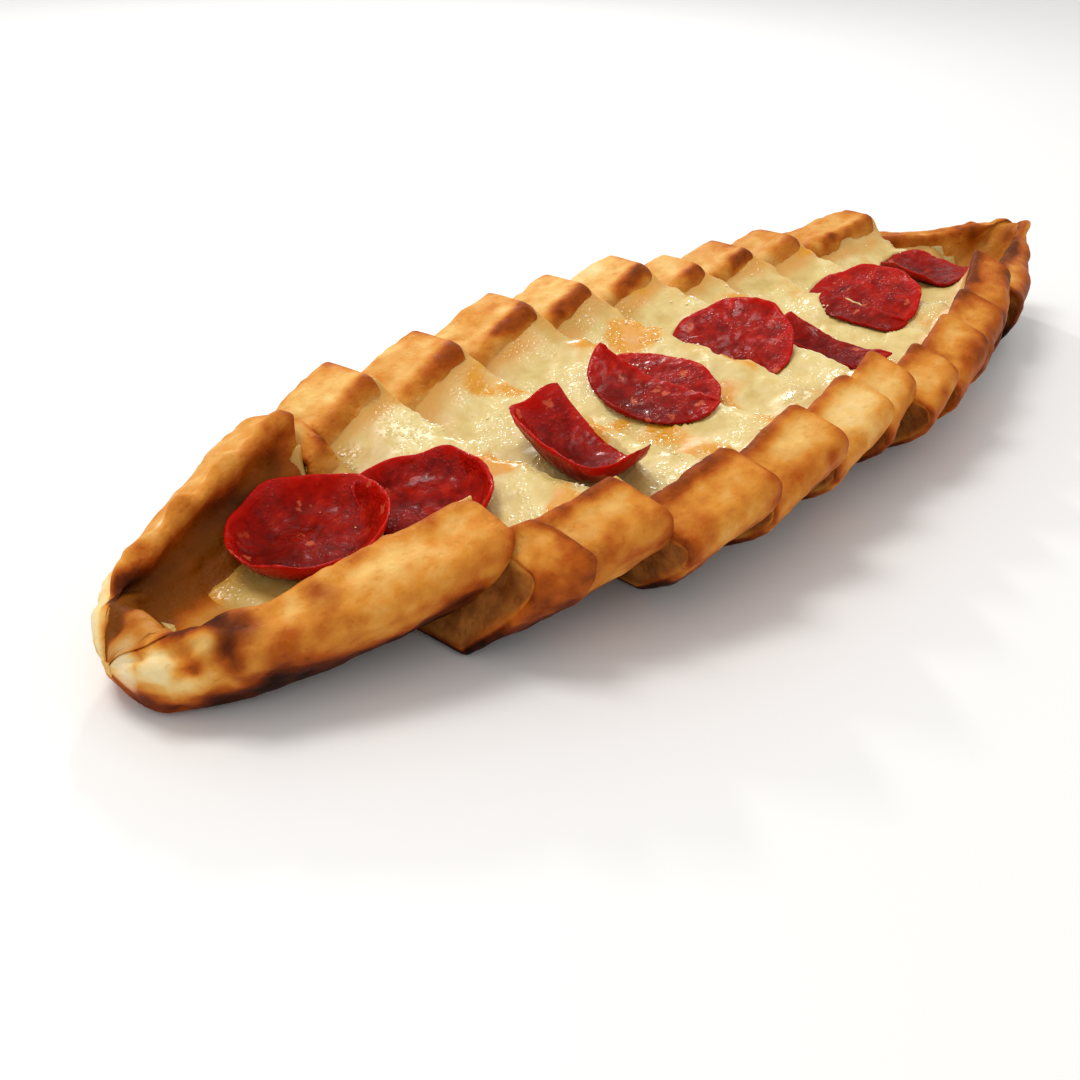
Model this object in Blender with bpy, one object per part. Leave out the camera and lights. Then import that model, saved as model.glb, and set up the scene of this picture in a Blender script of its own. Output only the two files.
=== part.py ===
"""Turkish pide: a boat-shaped cheese flatbread, cut across into twelve slices that lean on one
another like fallen dominoes, with eight curled pepperoni slices on top.

Frame: metres, +X along the boat, +Y across it, +Z up. The origin is on the floor, under the middle.
Each cut is a plane. A slice is a section drawn on its left cut and again on its right cut, joined by
straight lines, so neighbours that share a cut never cross. The right section sits higher than the
left one, because each slice is tipped up on its left bottom edge.
"""

from functools import partial

import bmesh
import bpy
import numpy as np
from mathutils import Vector
from mathutils.bvhtree import BVHTree

MM = 0.001

# The boat as it was baked.
LENGTH = 346 * MM
HALF_WIDTH = 60 * MM
BOW = 8 * MM
BLUNTNESS = 0.5
BASE_SHARE = 0.68
CRUST_HEIGHT = 25.5 * MM
NEAR_CRUST_WIDTH = 15 * MM
FAR_CRUST_WIDTH = 21 * MM
NARROW_CRUST = 0.42

# The two pinched ends. The left one is low and blunt, the right one curls up to a point.
LEFT_END = {
    "height": 12 * MM,
    "height_reach": 60 * MM,
    "curl": 1 * MM,
    "curl_reach": 16 * MM,
    "pinch_reach": 26 * MM,
    "aside": -5 * MM,
    "sharpness": 0.0,
}
RIGHT_END = {
    "height": 25 * MM,
    "height_reach": 40 * MM,
    "curl": 8 * MM,
    "curl_reach": 30 * MM,
    "pinch_reach": 24 * MM,
    "aside": -7 * MM,
    "sharpness": 0.4,
}
POINT_REACH = 42 * MM
END_CAP = 1.2 * MM
PINCHED_FLOOR = 0.88

# Gaps between pieces, and the small round on a cut edge.
GAP = 0.3 * MM
CHEESE_GAP = 0.45 * MM
CUT_EDGE = 0.8 * MM

# The cuts: place along the boat on the floor, turn about Z, and lean of the top towards the left end.
CUTS = (
    (55.5 * MM, 5.5, -16),
    (74.5 * MM, 6, 12),
    (101 * MM, 3.5, 20),
    (129 * MM, 2.5, 20),
    (160 * MM, -0.5, 22),
    (186 * MM, -0.5, 22),
    (210 * MM, -6, 22),
    (228 * MM, -6, 22),
    (250 * MM, -5, 22),
    (272 * MM, -5, 20),
    (304 * MM, -12, 14),
)
LEFT_RISE = 7 * MM
END_STEPS = (0.0, 0.025, 0.08, 0.17, 0.31, 0.5, 0.73, 1.0)

# How far each slice was pushed towards +Y when it was cut.
SLICE_SHIFT = [shift * MM for shift in (2, -4, 0, -2.5, 0, 4, 5.5, 1, 1, 3, 4, -1)]

# The outer wall of the crust, as shares of the way up from the base to the outer corner.
WALL_STEPS = np.array([0.0, 0.12, 0.35, 0.6, 0.82, 1.0])
CORNER_HEIGHT = 0.90

# The rolled lip and the inner wall: inset in crust widths, and height in crust heights.
LIP = np.array(
    [
        [0.03, 0.95],
        [0.12, 0.99],
        [0.45, 1.00],
        [0.78, 1.00],
        [0.93, 0.96],
        [1.00, 0.86],
        [1.10, 0.72],
        [1.30, 0.53],
        [1.62, 0.40],
        [2.10, 0.34],
    ]
)
LIP_TOP_POINTS = 5
FLOOR_SHARE = 0.33
# Each lip falls outwards from its inner edge, by these shares of the crust's height.
NEAR_LIP_FALL = 0.14
FAR_LIP_FALL = 0.06

# The melted cheese: its level, its height where it meets the lip, and how fast it falls from there.
CHEESE_LEVEL = 0.66
CHEESE_DROP = [drop * MM for drop in (7, 3.5, 0, 0, 0, 0, 0, 0, 0, 0, 1, 0)]
NEAR_CHEESE_EDGE = 0.76
FAR_CHEESE_EDGE = 0.90
CHEESE_FALL = 2.1
CHEESE_STEPS = np.array([0.0, 0.09, 0.27, 0.56, 1.0])
LEFT_CHEESE_END = 17 * MM
RIGHT_CHEESE_END = 322 * MM


# The pepperoni slices, some of them cut through with the bread. Each starts as a flat disc, kept
# between two straight cuts that run along the bread's cuts. Its rim is bent up all round, its left
# and right sides are folded up, and its near and far ends are lifted. Then it is tilted right side
# up, turned about Z, and let down onto the slices under it.
PEPPERONI_THICKNESS = 1.5 * MM
PEPPERONI_SIDES = 20
PEPPERONI_RINGS = (0.4, 0.72, 0.95)
CLEARANCE_RINGS = 9
WHOLE = 100.0
UNBENT = (100.0, 1.0, 0.0)


def pepperoni(
    name,
    at,
    radius,
    tilt,
    turn,
    on,
    kept=(-WHOLE, WHOLE),
    narrow=1.0,
    rim=UNBENT,
    left=UNBENT,
    right=UNBENT,
    ends=(0, 0),
):
    """Places in mm, angles in degrees. A bend is the flat stretch before it, its radius and its angle."""
    return {
        "name": name,
        "at": np.array(at) * MM,
        "radius": radius * MM,
        "tilt": np.radians(tilt),
        "turn": np.radians(turn),
        "on": on,
        "kept": np.array(kept) * MM,
        "narrow": narrow,
        "rim": rim,
        "left": left,
        "right": right,
        "ends": np.array(ends) * MM,
    }


PEPPERONI = (
    pepperoni("1", (48.5, -4.5), 19, 8, 0, (0, 1), rim=(13, 5, 55)),
    pepperoni("2", (75, -10), 18.5, 12, 0, (1, 2), kept=(-10, WHOLE), rim=(12, 6, 50)),
    pepperoni("3", (118.5, -16), 18.5, 18, 0, (3,), kept=(-WHOLE, 1), left=(6, 6, 85), ends=(1, 5)),
    pepperoni(
        "4_front", (148.5, -9), 18.5, 24, 0, (4,),
        kept=(-WHOLE, -1), narrow=0.74, left=(9, 7, 40), ends=(0, 5),
    ),
    pepperoni("4_back", (154, -5), 18, 22, 0, (5,), kept=(1, WHOLE), rim=(10, 30, 20)),
    pepperoni("5", (184.5, -3), 20.5, 37, 0, (6, 7), kept=(-3, WHOLE)),
    pepperoni("6", (210, -20), 18.5, 22, -4, (7,), kept=(-5, 8), ends=(0, 5)),
    pepperoni("7_front", (240, -11), 15, 20, -5, (8,), kept=(-WHOLE, 0), narrow=0.5, left=(3, 6, 40)),
    pepperoni("7_back", (249, -7), 18.5, 28, -5, (9, 10), kept=(-4, WHOLE)),
    pepperoni("8", (287.5, -1.5), 14.5, 15, -8, (10,), kept=(-WHOLE, 9), left=(5, 5, 80)),
)


def clear_scene():
    for obj in list(bpy.data.objects):
        bpy.data.objects.remove(obj, do_unlink=True)


def material(name, colour, roughness):
    made = bpy.data.materials.new(name)
    made.use_nodes = True
    shader = made.node_tree.nodes["Principled BSDF"]
    shader.inputs["Base Color"].default_value = (*colour, 1.0)
    shader.inputs["Roughness"].default_value = roughness
    shader.inputs["Metallic"].default_value = 0.0
    return made


def half_width(u):
    """Half of the boat's width at the lip: a blunted sine along the boat, drawn in to a point."""
    end, closeness = near_end(u)
    drawn_in = (1.0 - closeness(POINT_REACH)) ** end["sharpness"]
    return HALF_WIDTH * drawn_in * np.sin(np.pi * u / LENGTH) ** BLUNTNESS


def centre_line(u):
    """The boat's middle bows a little towards -Y, most in its left half."""
    return -BOW * np.sin(np.pi * (u / LENGTH) ** 0.6)


def near_end(u):
    """The nearer end, and 1 at its very tip falling to 0 at a given reach from it."""
    end, distance = (LEFT_END, u) if u < LENGTH / 2 else (RIGHT_END, LENGTH - u)
    return end, lambda reach: max(0.0, 1.0 - distance / reach)


def crust_height(u):
    end, closeness = near_end(u)
    return CRUST_HEIGHT + (end["height"] - CRUST_HEIGHT) * closeness(end["height_reach"])


def end_curl(u):
    end, closeness = near_end(u)
    return end["curl"] * closeness(end["curl_reach"]) ** 2


def channel_floor(u):
    end, closeness = near_end(u)
    return FLOOR_SHARE + (PINCHED_FLOOR - FLOOR_SHARE) * closeness(end["pinch_reach"])


def crust_width(u, side):
    return min(NEAR_CRUST_WIDTH if side < 0 else FAR_CRUST_WIDTH, NARROW_CRUST * half_width(u))


def lip_profile(u):
    """The lip's insets and heights in shares, with its inner wall ending at the channel's floor."""
    inset, share = LIP.T
    floor = channel_floor(u)
    inner = floor + (share - FLOOR_SHARE) * (1.0 - floor) / (1.0 - FLOOR_SHARE)
    return inset, np.where(inset > 1.0, inner, share)


def crust_side(u, side):
    """Points (y, h) of one crust, from the edge of the base over the lip to the channel's floor."""
    half, height, crust = half_width(u), crust_height(u), crust_width(u, side)
    fall = NEAR_LIP_FALL if side < 0 else FAR_LIP_FALL
    wall_out = BASE_SHARE + (1.0 - BASE_SHARE) * np.sin(0.5 * np.pi * WALL_STEPS)
    corner = (CORNER_HEIGHT - 0.5 * fall) * height
    wall = np.column_stack([half * wall_out, corner * WALL_STEPS])
    inset, share = lip_profile(u)
    share = share + fall * np.clip(inset - 0.5, -0.5, 0.5) * (inset <= 1.0)
    lip = np.column_stack([half - crust * inset, height * share])
    points = np.vstack([wall, lip])
    points[:, 0] *= side
    return points


def dough_section(u):
    """The closed outline of the dough at distance u along the boat, near side first."""
    near, far = crust_side(u, -1), crust_side(u, 1)
    middle = [[0.0, crust_height(u) * channel_floor(u)]]
    return np.vstack([near, middle, far[::-1], [[0.0, 0.0]]])


def cheese_side(u, side, level, edge):
    """One side's bed and top, from where the cheese meets the lip to the deep of the channel."""
    inset, share = lip_profile(u)
    meets = max(1.0, np.interp(edge, share[::-1], inset[::-1]))
    reach = meets + (inset[-1] - meets) * CHEESE_STEPS
    bed = np.column_stack([half_width(u) - crust_width(u, side) * reach, np.interp(reach, inset, share)])
    top = bed.copy()
    top[:, 0] -= 2.0 * CHEESE_GAP
    top[:, 1] = level + (edge - level) * np.exp(-CHEESE_FALL * (reach - meets))
    scale = (side, crust_height(u))
    return bed * scale, top * scale


def cheese_section(u, drop):
    """The closed outline of the cheese: the channel moved in by the gap, then the melted top."""
    height = crust_height(u)
    level = max(CHEESE_LEVEL - drop / height, channel_floor(u) + 0.06)
    near_edge, far_edge = [max(edge - drop / height, level) for edge in (NEAR_CHEESE_EDGE, FAR_CHEESE_EDGE)]
    near_bed, near_top = cheese_side(u, -1, level, near_edge)
    far_bed, far_top = cheese_side(u, 1, level, far_edge)
    channel = np.vstack([near_bed, [[0.0, height * channel_floor(u)]], far_bed[::-1]])
    along = np.gradient(channel, axis=0)
    inwards = np.column_stack([-along[:, 1], along[:, 0]]) / np.linalg.norm(along, axis=1)[:, None]
    return np.vstack([channel + CHEESE_GAP * inwards, far_top, [[0.0, height * level]], near_top[::-1]])


class Plane:
    """A cut, or a plain station inside an end slice: where it stands, its turn and its lean."""

    def __init__(self, u, turn=0.0, lean=0.0):
        self.u, self.turn, self.lean = u, np.radians(turn), np.radians(lean)
        self.base = np.array([u, 0.0, 0.0])
        self.across = np.array([-np.sin(self.turn), np.cos(self.turn), 0.0])
        ahead = np.array([np.cos(self.turn), np.sin(self.turn), 0.0])
        self.up = np.cos(self.lean) * np.array([0.0, 0.0, 1.0]) - np.sin(self.lean) * ahead
        self.normal = np.cos(self.lean) * ahead + np.array([0.0, 0.0, np.sin(self.lean)])

    def between(self, other, share):
        mix = (1.0 - share) * np.array([self.u, self.turn, self.lean])
        mix = mix + share * np.array([other.u, other.turn, other.lean])
        return Plane(mix[0], *np.degrees(mix[1:]))

    def place(self, section, shift, rise, inset=0.0):
        centre = section.mean(axis=0)
        size = np.ptp(section, axis=0)
        section = centre + (section - centre) * (1.0 - 2.0 * inset / size)
        y = section[:, :1] + shift + centre_line(self.u)
        h = section[:, 1:] + rise
        return self.base + y * self.across + h * self.up


def loft(name, loops, look):
    """A closed body through loops of equal length, with a flat face on each end."""
    count = len(loops[0])
    mesh = bmesh.new()
    rings = [[mesh.verts.new(point) for point in loop] for loop in loops]
    for first, second in zip(rings, rings[1:]):
        for k in range(count):
            after = (k + 1) % count
            mesh.faces.new((first[k], first[after], second[after], second[k]))
    mesh.faces.new(rings[0][::-1])
    mesh.faces.new(rings[-1])
    bmesh.ops.triangulate(mesh, faces=mesh.faces)
    return finish(name, mesh, look)


def finish(name, mesh, look):
    """Puts a closed mesh in the scene, facing outwards."""
    if mesh.calc_volume(signed=True) < 0.0:
        bmesh.ops.reverse_faces(mesh, faces=mesh.faces)
    data = bpy.data.meshes.new(name)
    mesh.to_mesh(data)
    mesh.free()
    data.materials.append(look)
    data.shade_smooth()
    data.set_sharp_from_angle(angle=np.radians(40))
    obj = bpy.data.objects.new(name, data)
    bpy.context.collection.objects.link(obj)
    return obj


def slice_stations(index):
    """Each plane of one slice, with the section's shift and rise on it, and which planes are cuts."""
    cuts = [Plane(*cut) for cut in CUTS]
    shift = SLICE_SHIFT[index]
    if index == 0:
        end, cut, aside = Plane(END_CAP), cuts[0], LEFT_END["aside"]
        stations = [(end.between(cut, s), aside + (shift - aside) * s, LEFT_RISE * s) for s in END_STEPS]
        return stations, (False, True)
    if index == len(CUTS):
        cut, end, aside = cuts[-1], Plane(LENGTH - END_CAP), RIGHT_END["aside"]
        steps = [1.0 - s for s in END_STEPS[::-1]]
        return [(cut.between(end, s), shift + (aside - shift) * s, 0.0) for s in steps], (True, False)
    left, right = cuts[index - 1], cuts[index]
    rise = (right.u - left.u) * np.sin(right.lean)
    return [(left, shift, 0.0), (right, shift, rise)], (True, True)


def slice_loops(index, section, first=0.0, last=LENGTH):
    """Loops of one slice: each cut end is pulled back by half the gap and has a small round."""
    stations, is_cut = slice_stations(index)
    loops = [
        plane.place(section(plane.u), shift, rise + end_curl(plane.u))
        for plane, shift, rise in stations
        if first <= plane.u <= last
    ]
    if is_cut[0]:
        plane, shift, rise = stations[0]
        inner = loops[0] + (0.5 * GAP + CUT_EDGE) * plane.normal
        outer = plane.place(section(plane.u), shift, rise, CUT_EDGE) + 0.5 * GAP * plane.normal
        loops[:1] = [outer, inner]
    if is_cut[1]:
        plane, shift, rise = stations[-1]
        inner = loops[-1] - (0.5 * GAP + CUT_EDGE) * plane.normal
        outer = plane.place(section(plane.u), shift, rise, CUT_EDGE) - 0.5 * GAP * plane.normal
        loops[-1:] = [inner, outer]
    return loops


def bent(distance, bend):
    """A strip laid flat for a stretch, rolled up on a circle, then straight: how far out and how high."""
    flat, radius, angle = bend[0] * MM, bend[1] * MM, np.radians(bend[2])
    rolled = np.clip((distance - flat) / radius, 0.0, angle)
    beyond = np.maximum(distance - flat - radius * angle, 0.0)
    out = np.minimum(distance, flat) + radius * np.sin(rolled) + beyond * np.cos(angle)
    return out, radius * (1.0 - np.cos(rolled)) + beyond * np.sin(angle)


def pepperoni_surface(topping, reach, angle):
    """Middle of one curled disc at shares of its radius and angles round it, before it is let down."""
    radius, half_across = topping["radius"], topping["radius"] * topping["narrow"]
    lower, upper = np.clip(topping["kept"], -half_across, half_across)
    middle = 0.5 * (lower + upper)
    along = reach * radius * np.cos(angle)
    across = middle + reach * (np.clip(half_across * np.sin(angle), lower, upper) - middle)
    distance = np.hypot(along, across) + 1e-9
    out, rim_up = bent(distance, topping["rim"])
    along, across = along * out / distance, across * out / distance
    left_out, left_up = bent(np.maximum(-across, 0.0), topping["left"])
    right_out, right_up = bent(np.maximum(across, 0.0), topping["right"])
    x, y = right_out - left_out, along
    near, far = topping["ends"]
    z = rim_up + left_up + right_up + np.where(along < 0.0, near, far) * (along / radius) ** 2
    tilt, turn = topping["tilt"], topping["turn"]
    x, z = x * np.cos(tilt) - z * np.sin(tilt), x * np.sin(tilt) + z * np.cos(tilt)
    x, y = x * np.cos(turn) - y * np.sin(turn), x * np.sin(turn) + y * np.cos(turn)
    return np.stack([x + topping["at"][0], y + topping["at"][1], z], axis=-1)


def pepperoni_skin(topping, reach, angle, side):
    """The disc's upper (side 1) or under (side -1) face, half a thickness off its middle."""
    step = 0.01
    reach, angle = np.broadcast_arrays(np.maximum(reach, step), angle)
    here = pepperoni_surface(topping, reach, angle)
    outwards = pepperoni_surface(topping, reach + step, angle) - here
    further = pepperoni_surface(topping, reach, angle + 0.1)
    sideways = further - pepperoni_surface(topping, reach, angle - 0.1)
    normal = np.cross(sideways, outwards)
    normal /= np.linalg.norm(normal, axis=-1, keepdims=True)
    return here + 0.5 * side * PEPPERONI_THICKNESS * normal


def height_to_clear(points, bed):
    """How far up the points must go so that each clears the bed under it by the gap."""
    needed = []
    for point in points:
        hit = bed.ray_cast(Vector((point[0], point[1], 1.0)), Vector((0.0, 0.0, -1.0)))[0]
        if hit:
            needed.append(hit.z + GAP - point[2])
    return max(needed)


def build_pepperoni(topping, under_it, look):
    """A curled disc with a rounded rim, let down until it just clears the slices it lies on."""
    angle = np.linspace(0.0, 2.0 * np.pi, PEPPERONI_SIDES, endpoint=False)
    upper = [pepperoni_skin(topping, reach, angle, 1) for reach in PEPPERONI_RINGS]
    under = [pepperoni_skin(topping, reach, angle, -1) for reach in PEPPERONI_RINGS]
    rim = pepperoni_surface(topping, 1.0, angle)
    hubs = [pepperoni_skin(topping, np.zeros(1), np.zeros(1), side)[0] for side in (1, -1)]
    shares = np.linspace(0.0, 1.0, CLEARANCE_RINGS)
    angles = np.linspace(0.0, 2.0 * np.pi, 4 * PEPPERONI_SIDES)
    reach, turn = np.meshgrid(shares, angles)
    lowest = pepperoni_skin(topping, reach.ravel(), turn.ravel(), -1)
    bed = joined_tree(under_it)
    lift = np.array([0.0, 0.0, height_to_clear(lowest, bed)])
    mesh = bmesh.new()
    rings = [[mesh.verts.new(point + lift) for point in ring] for ring in (*upper, rim, *under[::-1])]
    top, bottom = [mesh.verts.new(hub + lift) for hub in hubs]
    for k in range(PEPPERONI_SIDES):
        after = (k + 1) % PEPPERONI_SIDES
        mesh.faces.new((top, rings[0][k], rings[0][after]))
        mesh.faces.new((bottom, rings[-1][after], rings[-1][k]))
        for inner, outer in zip(rings, rings[1:]):
            mesh.faces.new((inner[k], outer[k], outer[after], inner[after]))
    return finish("pepperoni_" + topping["name"], mesh, look)


def joined_tree(objects):
    """One search tree over the faces of several objects."""
    corners, faces = [], []
    for obj in objects:
        first = len(corners)
        corners += [vertex.co.copy() for vertex in obj.data.vertices]
        faces += [[first + k for k in face.vertices] for face in obj.data.polygons]
    return BVHTree.FromPolygons(corners, faces)


def build_slices():
    golden = material("dough", (0.70, 0.42, 0.17), 0.55)
    melted = material("cheese", (0.80, 0.66, 0.34), 0.35)
    made = []
    for index in range(len(CUTS) + 1):
        label = f"{index + 1:02d}"
        dough = loft(f"dough_{label}", slice_loops(index, dough_section), golden)
        filling = partial(cheese_section, drop=CHEESE_DROP[index])
        loops = slice_loops(index, filling, LEFT_CHEESE_END, RIGHT_CHEESE_END)
        made.append((dough, loft(f"cheese_{label}", loops, melted)))
    return made


def build_toppings(slices):
    cured = material("pepperoni", (0.45, 0.04, 0.03), 0.3)
    for topping in PEPPERONI:
        under_it = [piece for k in topping["on"] for piece in slices[k]]
        build_pepperoni(topping, under_it, cured)


def centre_on_floor():
    """An empty carries every piece, so that the origin is on the floor under the middle."""
    pieces = list(bpy.data.objects)
    corners = np.array([vertex.co for piece in pieces for vertex in piece.data.vertices])
    middle = 0.5 * (corners.min(axis=0) + corners.max(axis=0))
    carrier = bpy.data.objects.new("pide", None)
    bpy.context.collection.objects.link(carrier)
    carrier.location = (-middle[0], -middle[1], -corners[:, 2].min())
    for piece in pieces:
        piece.parent = carrier


clear_scene()
build_toppings(build_slices())
centre_on_floor()
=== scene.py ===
import bmesh
import bpy
import numpy as np
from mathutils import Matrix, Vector


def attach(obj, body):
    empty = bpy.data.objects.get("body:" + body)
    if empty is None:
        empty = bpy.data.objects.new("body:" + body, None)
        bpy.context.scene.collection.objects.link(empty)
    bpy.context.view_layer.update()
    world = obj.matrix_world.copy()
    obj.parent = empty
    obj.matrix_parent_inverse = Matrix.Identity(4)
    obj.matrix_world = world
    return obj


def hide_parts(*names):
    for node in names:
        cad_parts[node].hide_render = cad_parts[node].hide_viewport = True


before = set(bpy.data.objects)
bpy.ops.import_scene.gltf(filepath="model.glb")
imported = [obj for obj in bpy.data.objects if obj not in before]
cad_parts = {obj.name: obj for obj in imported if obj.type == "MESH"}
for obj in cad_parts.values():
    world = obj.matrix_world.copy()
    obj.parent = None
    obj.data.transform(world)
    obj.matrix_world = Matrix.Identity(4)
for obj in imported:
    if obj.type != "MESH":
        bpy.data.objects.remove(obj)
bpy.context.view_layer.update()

MM = 0.001

# ---------------------------------------------------------------------------------------------
# The boat: the same shape as the solids, in millimetres along the boat from the low left tip.
# ---------------------------------------------------------------------------------------------
# Its outline, how far it bows aside, the power that blunts its sine, and the width of its base.
LENGTH = 346.0
HALF_WIDTH = 60.0
BOW = 8.0
BLUNTNESS = 0.5
BASE_SHARE = 0.68
# The crust, with -1 for the near side and 1 for the far side: its width, and how far it falls inwards.
CRUST_HEIGHT = 25.5
CRUST_WIDTH = {-1: 15.0, 1: 21.0}
NARROW_CRUST = 0.42
LIP_FALL = {-1: 0.14, 1: 0.06}
# Each end: the height of its crust and its lift, with how far from the tip each reaches, the length over
# which the hollow closes, and how pointed it is.
LEFT_END = dict(height=12.0, height_reach=60.0, curl=1.0, curl_reach=16.0, pinch=26.0, sharp=0.0)
RIGHT_END = dict(height=25.0, height_reach=40.0, curl=8.0, curl_reach=30.0, pinch=24.0, sharp=0.4)
LAST = 11
END_ASIDE = {0: -5.0, LAST: -7.0}
POINT_REACH = 42.0
END_CAP = 1.2
# Heights of the hollow's floor, at a tip and along the middle, and of the outer corner, in crust heights.
PINCHED_FLOOR = 0.88
FLOOR_SHARE = 0.33
CORNER_HEIGHT = 0.90
# How far the left end's far crust leans inwards, and how far that slice is raised at its cut.
LEFT_FOLD = 0.22
LEFT_RISE = 7.0
# Cuts: place on the floor, turn about Z and lean of the top towards the left, in degrees.
CUTS = np.array(
    [
        [55.5, 5.5, -16],
        [74.5, 6, 12],
        [101, 3.5, 20],
        [129, 2.5, 20],
        [160, -0.5, 22],
        [186, -0.5, 22],
        [210, -6, 22],
        [228, -6, 22],
        [250, -5, 22],
        [272, -5, 20],
        [304, -12, 14],
    ]
)
# How far each slice is pushed aside, and how far its cheese has sunk, in mm.
SLICE_SHIFT = (2, -4, 0, -2.5, 0, 4, 5.5, 1, 1, 3, 4, -1)
CHEESE_DROP = (6, 3.5, 0, 0, 0, 0, 0, 0, 0, 0, 1, 0)
# The cheese's level and its edges on the two lips, in crust heights, its fall from them, and its ends.
CHEESE_LEVEL = 0.66
CHEESE_EDGE = {-1: 0.76, 1: 0.90}
CHEESE_FALL = 2.1
CHEESE_ENDS = (13.0, 326.0)
# From the boat's own millimetres to the frame's metres.
BOAT_IN_FRAME = np.array([-0.173, 0.0047145, 0.0002619])

# The outer wall's stations in shares of its height.
WALL_STEPS = np.array([0.0, 0.12, 0.35, 0.6, 0.82, 1.0])
# The lip: inset in crust widths, and height in crust heights.
LIP = np.array(
    [
        [0.03, 0.95],
        [0.12, 0.99],
        [0.45, 1.00],
        [0.78, 1.00],
        [0.93, 0.96],
        [1.00, 0.86],
        [1.10, 0.72],
        [1.30, 0.53],
        [1.62, 0.40],
        [2.10, 0.34],
    ]
)


def end_value(u, name):
    """The left end's value in the left half of the boat, and the right end's in the right half."""
    return np.where(u < LENGTH / 2, LEFT_END[name], RIGHT_END[name])


def closeness(u, reach):
    """1 at the nearer tip of the boat, falling in a straight line to 0 at the reach."""
    return np.maximum(0.0, 1.0 - np.minimum(u, LENGTH - u) / reach)


def half_width(u):
    """A blunted sine along the boat, drawn in to a point at the right end."""
    taper = (1.0 - closeness(u, POINT_REACH)) ** end_value(u, "sharp")
    return HALF_WIDTH * taper * np.sin(np.pi * u / LENGTH) ** BLUNTNESS


def centre_line(u):
    """How far the boat bows aside: a sine of the place along it to the power 0.6."""
    return -BOW * np.sin(np.pi * (u / LENGTH) ** 0.6)


def crust_height(u):
    """Level along the middle, running in a straight line to each tip's own height."""
    at_tip = closeness(u, end_value(u, "height_reach"))
    return CRUST_HEIGHT + (end_value(u, "height") - CRUST_HEIGHT) * at_tip


def end_curl(u):
    """Lift of the whole section near a tip, as the square of the closeness."""
    return end_value(u, "curl") * closeness(u, end_value(u, "curl_reach")) ** 2


def channel_floor(u):
    """Height of the hollow's floor in shares of the crust's height, rising to the pinched tips."""
    return FLOOR_SHARE + (PINCHED_FLOOR - FLOOR_SHARE) * closeness(u, end_value(u, "pinch"))


def crust_width(u, side):
    """The side's own width, or a share of the half width where the boat is narrow."""
    return np.minimum(CRUST_WIDTH[side], NARROW_CRUST * half_width(u))


def lip_share(u, inset, side, fold):
    """Height of the crust in shares at an inset: the lip, then the inner wall down to the floor."""
    base = np.interp(inset, LIP[:, 0], LIP[:, 1])
    floor = channel_floor(u)
    inner = floor + (base - FLOOR_SHARE) * (1.0 - floor) / (1.0 - FLOOR_SHARE)
    fall = LIP_FALL[side] + fold
    faded = np.clip((1.3 - inset) / 0.3, 0.0, 1.0)
    tilt = fall * (np.clip(inset, 0.0, 1.0) - 0.5) * faded
    return np.where(inset > 1.0, inner, base) + tilt


# ---------------------------------------------------------------------------------------------
# Numbers scattered smoothly through space.
# ---------------------------------------------------------------------------------------------
def lattice(cell, seed):
    """A steady random number from -1 to 1 for each whole-number place."""
    cell = cell.astype(np.int64)
    mixed = cell[..., 0] * 374761393 + cell[..., 1] * 668265263
    mixed = mixed + cell[..., 2] * 1442695041 + seed * 97463477
    mixed = (mixed ^ (mixed >> 13)) & 0xFFFFFFFF
    mixed = (mixed * 1274126177) & 0xFFFFFFFF
    mixed = (mixed ^ (mixed >> 16)) & 0xFFFFFF
    return mixed / float(0x7FFFFF) - 1.0


def wander(points, size, seed=0):
    """Smooth random values: the lattice's numbers blended with a fade curve between whole places."""
    place = np.asarray(points) / size
    cell = np.floor(place)
    part = place - cell
    part = part**3 * (part * (part * 6.0 - 15.0) + 10.0)
    total = 0.0
    for corner in np.ndindex(2, 2, 2):
        weight = np.prod(np.where(corner, part, 1.0 - part), axis=-1)
        total = total + weight * lattice(cell + corner, seed)
    return total


def layered(points, size, layers=3, seed=0):
    """Wandering values at a size, half the size and so on, each layer half as strong."""
    return sum(wander(points, size / 2**k, seed + k) / 2**k for k in range(layers))


def step(value, low, high):
    """0 at low, 1 at high, and 3 t^2 - 2 t^3 of the share t between them."""
    part = np.clip((value - low) / (high - low), 0.0, 1.0)
    return part * part * (3.0 - 2.0 * part)


def bell(points, place, size):
    """A round hill of height 1 about a place."""
    return np.exp(-np.sum((points - np.asarray(place, float)) ** 2, axis=-1) / size**2)


def hill(value, place, width):
    """A bell of height 1 about one value of a number."""
    return np.exp(-(((value - place) / width) ** 2))


def wide_bumps(points):
    """The dough's large bumps in mm, which the cheese follows where it lies on the dough."""
    return 0.55 * layered(points, 11.0, 3, 3)


# ---------------------------------------------------------------------------------------------
# Making meshes.
# ---------------------------------------------------------------------------------------------
def grid_faces(index, wrap=False):
    """Quads over a grid of vertex numbers, closed round its second direction if asked."""
    if wrap:
        index = np.concatenate([index, index[:, :1]], axis=1)
    quads = np.stack([index[:-1, :-1], index[:-1, 1:], index[1:, 1:], index[1:, :-1]], axis=-1)
    return quads.reshape(-1, 4)


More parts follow.
